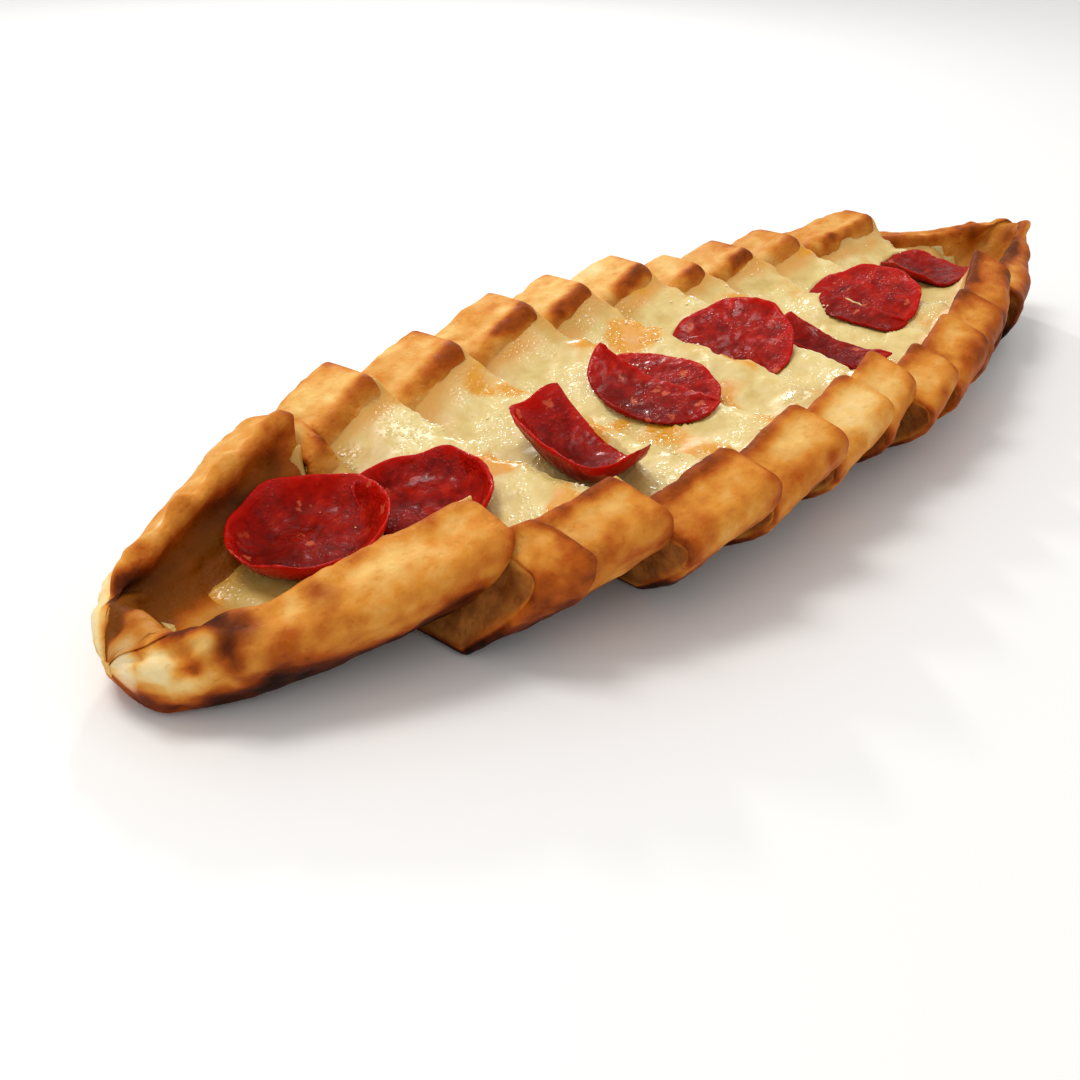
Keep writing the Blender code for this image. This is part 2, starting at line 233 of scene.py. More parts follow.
def make_piece(name, points, faces, values, material, node=None):
    """A closed mesh in the frame: doubled points merged, faces outwards, with its values kept."""
    data = bpy.data.meshes.new(name)
    data.from_pydata((points * MM + BOAT_IN_FRAME).tolist(), [], faces.tolist())
    for label, value in values.items():
        layer = data.attributes.new(label, "FLOAT", "POINT")
        layer.data.foreach_set("value", np.ascontiguousarray(value, np.float32))
    mesh = bmesh.new()
    mesh.from_mesh(data)
    bmesh.ops.remove_doubles(mesh, verts=mesh.verts, dist=2e-6)
    bmesh.ops.dissolve_degenerate(mesh, edges=mesh.edges, dist=1e-6)
    bmesh.ops.recalc_face_normals(mesh, faces=mesh.faces)
    if mesh.calc_volume(signed=True) < 0:
        bmesh.ops.reverse_faces(mesh, faces=mesh.faces)
    mesh.to_mesh(data)
    mesh.free()
    data.shade_smooth()
    data.materials.append(material)
    piece = bpy.data.objects.new(name, data)
    bpy.context.collection.objects.link(piece)
    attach(piece, "root")
    if node:
        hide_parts(node)
    return piece


def slab_points(top, bottom, rows):
    """Loops round a slab at each station, with the rows of its two end faces.

    The top runs one way, a side goes down in rows, the bottom runs back and the other side comes up.
    """
    share = (np.arange(1, rows) / rows)[None, :, None]
    far_side = top[:, -1:] + (bottom[:, -1:] - top[:, -1:]) * share
    near_side = bottom[:, :1] + (top[:, :1] - bottom[:, :1]) * share
    return np.concatenate([top, far_side, bottom[:, ::-1], near_side], axis=1)


def slab_cap(across, rows, first, extra):
    """Vertex numbers of an end face: the loop from first on round it, those from extra on inside it."""
    index = np.empty((rows + 1, across), int)
    index[0] = first + np.arange(across)
    index[1:-1, -1] = first + across + np.arange(rows - 1)
    index[-1] = first + across + rows - 1 + np.arange(across)[::-1]
    index[1:-1, 0] = first + 2 * across + rows - 1 + np.arange(rows - 1)[::-1]
    index[1:-1, 1:-1] = extra + np.arange((rows - 1) * (across - 2)).reshape(rows - 1, across - 2)
    return index


def inside_of_cap(loop, across, rows):
    """Points inside an end face, on straight lines from the top to the bottom of its loop."""
    top = loop[1 : across - 1]
    bottom = loop[across + rows - 1 : 2 * across + rows - 1][::-1][1:-1]
    share = (np.arange(1, rows) / rows)[:, None, None]
    return top[None] + (bottom - top)[None] * share


def make_slab(kind, index, points, values, size, caps, material, slot):
    """Joins a slice's loops and its two end faces, each with its own values, into one closed piece."""
    rows, across = size
    stations, around = points.shape[:2]
    faces = [grid_faces(np.arange(stations * around).reshape(stations, around), wrap=True)]
    parts, layers = [points.reshape(-1, 3)], [values]
    extra = stations * around
    for first, (inner, inner_values) in zip((0, (stations - 1) * around), caps):
        faces.append(grid_faces(slab_cap(across, rows, first, extra)))
        parts.append(inner.reshape(-1, 3))
        layers.append(inner_values)
        extra += inner.shape[0] * inner.shape[1]
    shapes = [points.shape[:2]] + [inner.shape[:2] for inner, _ in caps]
    merged = {}
    for label in values:
        filled = [np.broadcast_to(layer[label], shape) for layer, shape in zip(layers, shapes)]
        merged[label] = np.concatenate([value.reshape(-1) for value in filled])
    points, faces = np.concatenate(parts), np.concatenate(faces)
    number = f"{index + 1:02d}"
    return make_piece(f"{kind}_{number}", points, faces, merged, material, f"{slot}_{number}")


def surface_normals(grid):
    """Unit normals of a grid of loops, from the cross product of its two directions."""
    along = np.gradient(grid, axis=0)
    around = np.roll(grid, -1, axis=1) - np.roll(grid, 1, axis=1)
    normal = np.cross(along, around)
    size = np.linalg.norm(normal, axis=-1, keepdims=True)
    return normal / np.maximum(size, 1e-9)


# ---------------------------------------------------------------------------------------------
# Slices: a section drawn on planes that stand across the boat.
# ---------------------------------------------------------------------------------------------
UP = np.array([0.0, 0.0, 1.0])


def plane_axes(turn, lean):
    """Unit directions of planes turned about Z and leaning left: across, up, and out to the right."""
    turn, lean = np.radians(turn)[:, None], np.radians(lean)[:, None]
    level = 0.0 * turn
    across = np.concatenate([-np.sin(turn), np.cos(turn), level], axis=1)
    ahead = np.concatenate([np.cos(turn), np.sin(turn), level], axis=1)
    return across, np.cos(lean) * UP - np.sin(lean) * ahead, np.cos(lean) * ahead + np.sin(lean) * UP


def on_plane(section, u, turn, lean, shift, rise):
    """Puts sections (y, h) on planes that stand at u: the base, plus y across, plus h up the plane."""
    across, up, _ = plane_axes(turn, lean)
    base = np.stack([u, 0.0 * u, 0.0 * u], axis=-1)
    y = section[..., 0] + (shift + centre_line(u))[:, None]
    h = section[..., 1] + (rise + end_curl(u))[:, None]
    return base[:, None] + y[..., None] * across[:, None] + h[..., None] * up[:, None]


def slice_planes(index):
    """The two planes that bound a slice, as arrays: place, turn, lean, shift and rise."""
    shift = SLICE_SHIFT[index]
    if index == 0:
        end, cut = (END_CAP, 0.0, 0.0), CUTS[0]
        rows = [(*end, END_ASIDE[0], 0.0), (*cut, shift, LEFT_RISE)]
    elif index == LAST:
        rows = [(*CUTS[-1], shift, 0.0), (LENGTH - END_CAP, 0.0, 0.0, END_ASIDE[LAST], 0.0)]
    else:
        left, right = CUTS[index - 1], CUTS[index]
        rise = (right[0] - left[0]) * np.sin(np.radians(right[2]))
        rows = [(*left, shift, 0.0), (*right, shift, rise)]
    return np.array(rows)


def slice_length(index):
    """Length of a slice along the floor."""
    planes = slice_planes(index)
    return abs(planes[1, 0] - planes[0, 0])


def is_cut(index):
    """Whether the left and the right end of a slice are cut faces."""
    return index > 0, index < LAST


def slice_grid(index, along, section):
    """A grid of loops along a slice. Inner slices are straight between their two cuts."""
    planes = slice_planes(index)
    if index in (0, LAST):
        mixed = planes[0] + (planes[1] - planes[0]) * along[:, None]
        return on_plane(section(mixed[:, 0]), *mixed.T), mixed[:, 0]
    ends = on_plane(section(planes[:, 0]), *planes.T)
    u = planes[0, 0] + (planes[1, 0] - planes[0, 0]) * along
    return ends[0] + (ends[1] - ends[0]) * along[:, None, None], u


# Distances of the first rings of points from a cut, in fine steps.
EDGE_STEPS = np.array([0.0, 0.12, 0.3, 0.55, 0.85, 1.2, 1.7, 2.3])


def steps_along(length, spacing, fine):
    """Shares along a slice, closer together within a few millimetres of each end."""
    near = EDGE_STEPS * fine
    middle = np.linspace(near[-1], length - near[-1], max(3, int(length / spacing)))[1:-1]
    return np.concatenate([near, middle, length - near[::-1]]) / length


def dough_controls(u, fold):
    """The outline's control points: near corner, near lip, channel, far lip, far corner; the way back.

    A wall goes in by a quarter sine from corner to base. A lip's height is the crust's times its share.
    """
    sides = {}
    for side in (-1, 1):
        half, height, crust = half_width(u), crust_height(u), crust_width(u, side)
        lean_in = fold * (side == 1)
        corner = (CORNER_HEIGHT - 0.5 * (LIP_FALL[side] + lean_in)) * height
        out = BASE_SHARE + (1.0 - BASE_SHARE) * np.sin(0.5 * np.pi * WALL_STEPS)
        wall = np.stack([side * half[:, None] * out, corner[:, None] * WALL_STEPS], axis=-1)
        inset = np.broadcast_to(LIP[:, 0], (u.size, LIP.shape[0]))
        share = lip_share(u[:, None], inset, side, lean_in)
        across = side * (half[:, None] - crust[:, None] * inset)
        lip = np.stack([across, height[:, None] * share], axis=-1)
        sides[side] = (wall, lip)
    zero = np.zeros(u.size)
    middle = np.stack([zero, crust_height(u) * channel_floor(u)], axis=-1)[:, None]
    base = np.stack([zero, zero], axis=-1)[:, None]
    near_wall, near_lip = sides[-1]
    far_wall, far_lip = sides[1]
    top = [near_wall[:, -1:], near_lip, middle, far_lip[:, ::-1], far_wall[:, -1:]]
    top = np.concatenate(top, axis=1)
    under = np.concatenate([far_wall[:, -2::-1], base, near_wall[:, :-1]], axis=1)
    return top, under


# Insets of the upper controls, with 3 for the middle of the channel.
INSETS = np.concatenate([[0.0], LIP[:, 0], [3.0], LIP[::-1, 0], [0.0]])
DOUGH_ACROSS = 168
DOUGH_ROWS = 18


def outline_weights():
    """Weights that turn the controls into an even loop: straight between them, then blurred by a bell."""
    rounding = 0.9
    top, under = dough_controls(np.array([LENGTH / 2]), 0.0)
    loop = np.concatenate([top[0], under[0], top[0, :1]])
    length = np.concatenate([[0.0], np.cumsum(np.hypot(*np.diff(loop, axis=0).T))])
    corner = top.shape[1] - 1
    places = np.concatenate(
        [
            np.linspace(0.0, length[corner], DOUGH_ACROSS),
            np.linspace(length[corner], length[-1], DOUGH_ACROSS)[1:-1],
        ]
    )
    count = loop.shape[0] - 1
    linear = [np.interp(places, length, np.eye(count + 1)[k]) for k in range(count + 1)]
    linear = np.stack(linear, axis=1)
    linear[:, 0] += linear[:, -1]
    linear = linear[:, :-1]
    gap = np.abs(places[:, None] - places[None])
    gap = np.minimum(gap, length[-1] - gap)
    blur = np.exp(-((gap / rounding) ** 2))
    blur /= blur.sum(axis=1, keepdims=True)
    return blur @ linear


OUTLINE = outline_weights()
TOP_COUNT = INSETS.size
WALL_DOWN = 1.0 - WALL_STEPS[:-1]
HALF_TOP = LIP.shape[0] + 1
HALF_UNDER = WALL_DOWN.size
# Round the loop: inset from the crust's edge, depth down the wall, and 0 on the near side, 1 on the far.
LOOP_INSET = OUTLINE[:, :TOP_COUNT] @ INSETS
LOOP_WALL = OUTLINE[:, TOP_COUNT:] @ np.concatenate([WALL_DOWN[::-1], [1.2], WALL_DOWN])
LOOP_FAR = OUTLINE @ np.concatenate(
    [np.zeros(HALF_TOP), [0.5], np.ones(HALF_TOP + HALF_UNDER), [0.5], np.zeros(HALF_UNDER)]
)


def dough_section(u, fold):
    """The loop of points round the dough at each place along the boat: weights times controls."""
    top, under = dough_controls(u, fold)
    return np.einsum("tk,skd->std", OUTLINE, np.concatenate([top, under], axis=1))


# Blisters and dents on the crust: place, size and height in mm, and how burnt each is.
BLISTERS = (
    ((17, -24.5, 17.5), 5.5, 2.4, 0.95),
    ((22, -29, 13), 6.0, 0.6, 0.3),
    ((32.5, -31, 23.5), 4.5, 1.9, 0.35),
    ((7.5, -3, 14), 3.0, -2.6, 0.6),
    ((12, -16, 10), 5.0, 0.8, 0.0),
    ((49, -37, 24), 7.0, 0.7, 0.0),
    ((108, -52, 9), 6.5, 1.6, 0.9),
    ((150, -54, 14), 7.0, 1.0, 0.3),
    ((115, 34.3, 28), 2.0, 1.9, 0.45),
    ((119.5, 32.2, 28), 2.2, 1.9, 0.5),
    ((150.7, 38.2, 28), 2.2, 1.9, 0.45),
    ((6, -11, 9), 4.5, 1.4, 0.0),
    ((200, 47, 27), 8.0, 0.9, 0.1),
    ((243, -47, 20), 6.0, 0.9, 0.35),
    ((262, -40, 22), 6.0, 0.8, 0.3),
    ((318, -14, 24), 5.0, 1.2, 0.3),
    ((331, 4, 26), 4.0, 1.2, 0.35),
    ((338, -8, 26), 3.5, 1.4, 0.4),
)
# Where flour is left on the pinched left end: place and size in mm.
FLOURED = (((4, -10, 9), 3.8), ((4, 5, 10), 4.5), ((26, 15, 21), 2.5), ((31, 17, 22), 2.0))
# How strongly the inner edge of each slice's far crust is toasted towards its right end.
TOASTED_FAR_EDGE = (0.10, 0.12, 0.28, 0.40, 0.62, 0.46, 0.46, 0.28, 0.55, 0.28, 0.28, 0.28)
# How strongly the top of the near crust of each slice is toasted.
TOASTED_NEAR_TOP = (0.16, 0.38, 0.38, 0.36, 0.34, 0.32, 0.28, 0.25, 0.24, 0.24, 0.26, 0.32)
# How much browner or paler each slice is than the rest.
SLICE_TOAST = (-0.02, 0.06, 0.0, 0.03, -0.02, -0.05, -0.04, -0.02, 0.0, 0.01, 0.02, 0.06)


def dough_values(index, points, u, along, inset, wall, far, to_cut, crumb):
    """How toasted and shaded, oily, burnt, floury and open the dough is at each point.

    Toast and shade is a sum of blotches, strips along the lips, cut edges and lower walls, with painted
    shade on the near walls and in the left slice's hollow and tip wrinkles. The left tip is paler.
    """
    blotch = layered(points, 14.0, 3, 11)
    speck = layered(points, 3.2, 2, 23)
    on_top = step(wall, 0.35, 0.0)
    near = 1.0 - far
    toast_and_shade = 0.29 + SLICE_TOAST[index] + (0.08 if index == 0 else 0.13) * blotch + 0.07 * speck
    strip = hill(inset, 0.90, 0.21 - 0.10 * far) * on_top
    toast_and_shade += strip * near * (TOASTED_NEAR_TOP[index] + 0.10 * wander(points, 7.0, 5))
    patch = step(along + 0.25 * wander(points, 9.0, 6), 0.25, 0.7)
    toast_and_shade += strip * far * (0.06 + 0.8 * TOASTED_FAR_EDGE[index] * patch)
    toast_and_shade += (0.20 + 0.06 * near) * np.exp(-to_cut / 2.2) * on_top * step(inset, 1.25, 0.9)
    toast_and_shade += 0.15 * near * step(inset, 0.4, 0.0) * on_top
    toast_and_shade = np.minimum(toast_and_shade, 0.68)
    # The lower walls darken towards the base: partly real browning, partly painted shade, so the near
    # side, facing away from the key light, is darker than the far side.
    toast_and_shade += near * (0.18 * step(wall, 0.0, 0.3) + 0.42 * step(wall + 0.2 * blotch, 0.2, 0.9))
    toast_and_shade += far * 0.34 * step(wall + 0.2 * blotch, 0.1, 0.9)
    toast_and_shade += (0.04 + 0.05 * near) * step(u, 200.0, 290.0)
    toast_and_shade -= 0.24 * step(u + 5.0 * blotch, 14.0, 4.0)
    if index == 0:
        # Painted shade: the far inner wall of the left slice, in the hollow under its folded flap, is
        # darkened, partly as real oil-soaked dough.
        inner_wall = on_top * step(inset, 0.88, 1.15) * step(inset, 2.2, 1.5) * far
        toast_and_shade += 0.62 * inner_wall * step(u, 60.0, 45.0) + 0.09 * far
        # Painted shade in the tip's wrinkles: darker where the same noise as the wrinkles pushes the
        # surface in, and towards the hollow.
        wrinkle_shade = 0.45 * step(inset, 0.7, 1.0) - 0.45 * wander(points, 4.5, 45)
        toast_and_shade += wrinkle_shade * step(u, 20.0, 10.0) * on_top
    burnt = np.zeros(points.shape[:-1])
    for place, size, _, amount in BLISTERS:
        spread_out = size * (0.75 + 0.25 * wander(points, 4.0, 19))
        burnt = np.maximum(burnt, amount * bell(points, place, 1.0) ** (1.0 / spread_out**2))
    halo = np.maximum(burnt**0.5 - burnt, 0.0)
    toast_and_shade += 0.5 * burnt + 0.45 * halo
    flour = np.zeros(points.shape[:-1])
    for place, size in FLOURED:
        flour = np.maximum(flour, bell(points, place, size))
    flour = step(flour + 0.3 * wander(points, 3.0, 29), 0.3, 0.8)
    oil = step(inset + 0.25 * wander(points, 8.0, 31), 0.85, 1.25) * on_top
    oil = np.maximum(oil, 0.3 * step(u, 200.0, 260.0) * step(wall, 0.8, 0.2))
    toast_and_shade = np.clip(toast_and_shade, 0.0, 1.0)
    return {"toast_and_shade": toast_and_shade, "oil": oil, "burnt": burnt, "flour": flour, "crumb": crumb}


# A distance in mm that stands for no cut at that end, and the radius of the edge at a cut.
FAR_AWAY = 99.0
CUT_RADIUS = 1.1


def dough_surface(index, along, length):
    """Loops moved out along their normals by puffed lips, a rolled edge, bumps, blisters and folds.

    The edge at a cut is a quarter circle. The boat's tips are filled in, wrinkled and closed as domes.
    """
    fold = LEFT_FOLD if index == 0 else 0.0
    grid, u = slice_grid(index, along, lambda at: dough_section(at, fold))
    from_left, from_right = along * length, (1.0 - along) * length
    cut = is_cut(index)
    to_left = from_left if cut[0] else np.full(along.size, FAR_AWAY)
    to_right = from_right if cut[1] else np.full(along.size, FAR_AWAY)
    to_cut = np.minimum(to_left, to_right)
    normal = surface_normals(grid)
    depth = np.clip(to_cut, 0.0, CUT_RADIUS)
    pulled = CUT_RADIUS - np.sqrt(CUT_RADIUS**2 - (CUT_RADIUS - depth) ** 2)
    inset, wall, far = LOOP_INSET[None], LOOP_WALL[None], LOOP_FAR[None]
    on_top = step(wall, 0.3, 0.0)
    hidden = step(inset, 1.35, 1.7)
    puffy = np.sin(np.pi * np.clip(along, 0, 1)) ** 0.6
    lift = 0.9 * puffy[:, None] * on_top * step(inset, 1.05, 0.6) * (0.4 + 0.6 * far)
    rolled = hill(inset, 0.90, 0.12) - 0.5 * hill(inset, 0.58, 0.16)
    lift = lift + 0.9 * rolled * on_top
    rough = wide_bumps(grid) + 0.22 * layered(grid, 2.6, 2, 7)
    rough *= (1.0 - 0.8 * hidden) * (1.0 - 0.7 * step(wall, 0.9, 1.05))
    for place, size, height, _ in BLISTERS:
        rough = rough + height * bell(grid, place, size)
    if index == 0:
        folded = far * step(u, 66.0, 48.0)[:, None]
        crest = hill(inset, 0.80, 0.13) * folded
        crease = hill(inset, 1.08, 0.12) * folded
        rough = rough + crest * (2.0 + 1.8 * layered(grid * [1, 0.4, 0.4], 6.0, 2, 41)) - 2.0 * crease
    moved = (lift + rough) * np.clip(to_cut / 2.0, 0.25, 1.0)[:, None] - pulled[:, None]
    grid = grid + normal * moved[..., None]
    if not all(cut):
        to_tip, dome = (from_left, 5.0) if index == 0 else (from_right, 4.0)
        filled = step(to_tip, 13.0, 5.0)[:, None] * on_top * step(inset, 0.5, 1.0)
        grid[..., 2] += filled * (0.92 * grid[..., 2].max(axis=1, keepdims=True) - grid[..., 2])
        pinched = step(to_tip, 20.0, 8.0)[:, None] * step(wall, 0.7, 0.3)
        wrinkles = 1.3 * wander(grid, 4.5, 45) + 0.5 * wander(grid, 2.2, 46)
        grid = grid + normal * (pinched * wrinkles)[..., None]
        size = np.sqrt(1.0 - (1.0 - np.clip(to_tip / dome, 0.02, 1.0)) ** 2)[:, None, None]
        core = grid.mean(axis=1, keepdims=True) + np.array([0.0, 0.0, -1.0])
        grid = core + (grid - core) * size
    if index == 1:
        grid[..., 2] -= 4.0 * step(grid[..., 1], 12.0, 22.0) * step(inset, 0.5, 1.0) * on_top
    grid[..., 2] = np.maximum(grid[..., 2], 0.0)
    return grid, u, to_cut


def dough_loops(grid):
    """The outline's loops as a slab's: upper half out, a side, lower half back, the other side."""
    under = np.concatenate([grid[:, :1], grid[:, : DOUGH_ACROSS - 2 : -1]], axis=1)
    return slab_points(grid[:, :DOUGH_ACROSS], under, DOUGH_ROWS)


def build_dough(index, material):
    """One slice of dough: its outer surface, and pored crumb pushed in and out of its two end faces."""
    length = slice_length(index)
    along = steps_along(length, 0.85, 0.8)
    grid, u, to_cut = dough_surface(index, along, length)
    loops = dough_loops(grid)
    shape = loops.shape[:2]
    stations = [np.broadcast_to(value[:, None], shape) for value in (u, along, to_cut)]
    round_loop = []
    for value in (LOOP_INSET, LOOP_WALL, LOOP_FAR):
        value = np.broadcast_to(value, grid.shape[:2])[..., None]
        round_loop.append(dough_loops(value)[..., 0])
    values = dough_values(index, loops, *stations[:2], *round_loop, stations[2], np.zeros(shape))
    share = (np.arange(1, DOUGH_ROWS) / DOUGH_ROWS)[:, None]
    deep = 4.0 * share * (1.0 - share)
    column = np.arange(1, DOUGH_ACROSS - 1)
    from_sides = np.minimum(column, DOUGH_ACROSS - 1 - column)
    from_rim = np.minimum(np.minimum(share, 1.0 - share) * 20.0, from_sides)
    caps = []
    for station, neighbour in ((0, 1), (-1, -2)):
        inner = inside_of_cap(loops[station], DOUGH_ACROSS, DOUGH_ROWS)
        outwards = loops[station].mean(axis=0) - loops[neighbour].mean(axis=0)
        outwards = outwards / np.linalg.norm(outwards)
        pores = 0.35 * layered(inner, 5.0, 2, 51) - 0.45 * step(wander(inner, 2.4, 53), 0.15, 0.6)
        inner = inner + outwards * (pores * deep**0.5 + 0.1)[..., None]
        crumb = step(from_rim, 1.0, 4.0) * is_cut(index)[station]
        # An end face counts as half way along the slice and down its crust, and 5 mm from a cut edge.
        face = [np.full(inner.shape[:2], value) for value in (u[station], 0.5, 0.5, 0.4, 0.5, 5.0)]
        caps.append((inner, dough_values(index, inner, *face, crumb)))
    return make_slab("crust", index, loops, values, (DOUGH_ROWS, DOUGH_ACROSS), caps, material, "dough")


# ---------------------------------------------------------------------------------------------
# Cheese: a pool between the crusts, climbing the far lip as a thin uneven film.
# ---------------------------------------------------------------------------------------------
CHEESE_ACROSS = 150
CHEESE_ROWS = 10
# The inset where the film of cheese ends, and how much further out its mesh goes, in crust widths.
FILM_REACH = 0.98
FILM_SPARE = 0.22
# Browned patches of the cheese: place and size in mm.
BROWNED_CHEESE = (
    ((91, -12, 23), 6.0),
    ((91, -36, 20), 6.0),
    ((171, 19, 25), 8.0),
    ((248, 36, 23), 5.0),
    ((316, -2, 22), 7.0),
    ((196, -8, 22), 5.0),
)
# Points where a bead of oil may lie, and how likely each is, filled in as the cheese is made.
BEAD_PLACES = []
BEAD_PULL = []


def cheese_section(u, drop, fold):
    """Places across the cheese, heights of its top and of the dough under it, and depth into its film.

    The top is level in the middle, and rises to each lip as a falling exponential of the inset.
    """
    half, height = half_width(u)[:, None], crust_height(u)[:, None]
    floor = channel_floor(u)[:, None]
    level = np.maximum(CHEESE_LEVEL - drop / height, floor + 0.06)
    reach = FILM_REACH - FILM_SPARE
    low, high = [half - crust_width(u, side)[:, None] * reach for side in (-1, 1)]
    across = np.linspace(0.0, 1.0, CHEESE_ACROSS)[None]
    y = -low + (low + high) * across
    top, film = level + 0.0 * y, 1.0 + 0.0 * y
    skin = floor + 0.0 * y
    for side in (-1, 1):
        inset = (half - side * y) / crust_width(u, side)[:, None]
        left_out = 0.34 * step(u, 60.0, 49.0)[:, None] * (fold > 0) * (side == 1)
        edge = np.maximum(CHEESE_EDGE[side] - left_out - drop / height, level)
        top = top + (edge - level) * np.exp(-CHEESE_FALL * np.maximum(inset - 1.0, 0.0))
        lip = lip_share(u[:, None], inset, side, fold * (side == 1))
        on_side = inset < 2.1
        skin = np.where(on_side, np.maximum(skin, lip), skin)
        film = np.minimum(film, inset - FILM_REACH - 1.7 * left_out)
    return y, top * height, skin * height, film


def cheese_surface(index, along, length):
    """The cheese's upper and under face: the higher of the lumpy pool and the film on the dough.

    The two are blended where they meet. The right edge at a cut hangs over and is beaded, the left edge
    sinks, and the pool dives under the dough at the boat's two ends.
    """
    planes = slice_planes(index)
    here = planes[0] + (planes[1] - planes[0]) * along[:, None]
    cut, drop = is_cut(index), CHEESE_DROP[index]
    fold, film_depth = (LEFT_FOLD, 7.0) if index == 0 else (0.0, 0.9)

    def laid(which):
        def section(u):
            y, *heights = cheese_section(u, drop, fold)
            return np.stack([y, heights[which]], axis=-1)

        return slice_grid(index, along, section)[0]

    top, skin = laid(0), laid(1)
    film = cheese_section(here[:, 0], drop, fold)[3]
    _, up, out = [axis[:, None] for axis in plane_axes(here[:, 1], here[:, 2])]
    uneven = film + 0.22 * layered(skin, 9.0, 2, 71)
    cover = -film_depth + (film_depth + 0.6) * step(uneven, -0.12, 0.10)
    down_to_dough = np.sum((skin - top) * up, axis=-1)
    climbing = down_to_dough + cover + wide_bumps(skin)
    lumps = 0.9 * layered(top, 15.0, 3, 61) + 0.12 * layered(top, 4.0, 2, 67)
    pool = lumps * step(film, 0.05, 0.5)
    soft = 1.2
    raised = np.maximum(climbing, pool) + soft * np.exp(-np.abs(climbing - pool) / soft) * 0.35
    grid = top + up * raised[..., None]
    from_left, from_right = (along * length)[:, None], ((1.0 - along) * length)[:, None]
    if cut[1]:
        overhang = 1.1 + 1.3 * layered(grid * [0.2, 1, 0.2], 6.0, 3, 73)
        near_edge = hill(from_right, 0.0, 2.4) * step(film, 0.0, 0.3)
        grid = grid + out * (near_edge * overhang)[..., None]
        beaded = 0.7 * wander(grid * [0.2, 1, 0.2], 3.5, 74) + 0.2
        grid = grid + up * (near_edge * beaded - near_edge**3 * 1.1)[..., None]
    if cut[0]:
        grid = grid - up * (hill(from_left, 0.0, 1.2) * 0.8)[..., None]
    if index == 1:
        grid[..., 2] -= 4.0 * step(grid[..., 1], 10.0, 20.0)
    if not all(cut):
        uneven_by, seed, low, high = (5.0, 77, 32.0, 15.0) if index == 0 else (4.0, 78, 310.0, 325.0)
        dive = step(grid[..., 0] + uneven_by * layered(grid, 10.0, 2, seed), low, high)
        grid = grid - up * (6.0 * dive)[..., None]
    bottom = top + up * (np.minimum(down_to_dough, -0.5) + 0.3)[..., None]
    bottom = bottom - up * 0.6
    shown = (raised > -0.2) & (film > 0.15) & (grid[..., 0] > 30.0)
    pull = hill(from_right, 0.0, 2.5) * cut[1] + 0.04 + 0.3 * step(wander(grid, 12.0, 95), 0.5, 0.8)
    BEAD_PLACES.append(grid[shown])
    BEAD_PULL.append(pull[shown] * step(wander(grid, 9.0, 96)[shown], -0.2, 0.5))
    return grid, bottom, uneven, out


def cheese_values(index, loops, along, length):
    """How browned the cheese is, how oily with painted shade in the trough along its left cut, and how
    near to the ridge along its cut right edge.
    """
    cut = is_cut(index)
    from_left, from_right = (along * length)[:, None], ((1.0 - along) * length)[:, None]
    brown = 0.7 * step(layered(loops, 17.0, 3, 83), 0.42, 0.95)
    for spot, reach in BROWNED_CHEESE:
        patch = bell(loops, spot, reach) + 0.25 * wander(loops, 4.0, 84)
        brown = np.maximum(brown, step(patch, 0.25, 0.75))
    ridge = hill(from_right, 0.0, 2.5) * cut[1]
    brown = np.clip(brown + 0.25 * ridge * step(wander(loops, 7.0, 91), 0.0, 0.6), 0.0, 1.0)
    oil_and_shade = 0.8 * step(layered(loops, 22.0, 2, 87) + 0.5 * wander(loops, 7.0, 88), 0.1, 0.7)
    if index == 0:
        oil_and_shade = np.maximum(oil_and_shade, step(loops[..., 0], 46.0, 30.0))
    # Painted shade: the trough along each slice's left cut is darkened like oily cheese.
    trough = np.exp(-from_left / 5.0) * cut[0]
    oil_and_shade = np.maximum(oil_and_shade, trough * (0.75 + 0.35 * wander(loops, 6.0, 89)))
    return {"brown": brown, "oil_and_shade": oil_and_shade, "ridge": ridge}


def build_cheese(index, material):
    """One slice's cheese, with a slightly rippled face at each end."""
    length = slice_length(index)
    along = steps_along(length, 0.8, 0.6)
    if not all(is_cut(index)):
        planes = slice_planes(index)
        u = planes[0, 0] + (planes[1, 0] - planes[0, 0]) * along
        along = along[(u >= CHEESE_ENDS[0]) & (u <= CHEESE_ENDS[1])]
    grid, bottom, uneven, out = cheese_surface(index, along, length)
    loops = slab_points(grid, bottom, CHEESE_ROWS)
    thin = step(uneven, 0.55, 0.0)[..., None]
    thin = slab_points(thin, np.zeros_like(thin), CHEESE_ROWS)[..., 0]
    values = {"thin": thin, **cheese_values(index, loops, along, length)}
    caps = []
    for station, outwards in ((0, -1.0), (-1, 1.0)):
        inner = inside_of_cap(loops[station], CHEESE_ACROSS, CHEESE_ROWS)
        ripple = 0.25 * layered(inner, 4.0, 2, 97)
        inner = inner + outwards * out[station] * ripple[..., None]
        caps.append((inner, {"thin": 0.0, "brown": 0.0, "oil_and_shade": 0.3, "ridge": 0.0}))
    return make_slab("melt", index, loops, values, (CHEESE_ROWS, CHEESE_ACROSS), caps, material, "cheese")


# ---------------------------------------------------------------------------------------------
# Pepperoni: discs with a rolled-up rim, one side folded up and lifted ends, some cut through.
# ---------------------------------------------------------------------------------------------
# A limit that cuts nothing off, and a bend that bends nothing.
WHOLE = 100.0
UNBENT = (100.0, 1.0, 0.0)


def bent(distance, bend):
    """A strip laid flat for a stretch, rolled up on a circle, then straight: how far out and how high."""
    flat, radius, angle = bend[0], bend[1], np.radians(bend[2])
    rolled = np.clip((distance - flat) / radius, 0.0, angle)
    beyond = np.maximum(distance - flat - radius * angle, 0.0)
    out = np.minimum(distance, flat) + radius * np.sin(rolled) + beyond * np.cos(angle)
    return out, radius * (1.0 - np.cos(rolled)) + beyond * np.sin(angle)


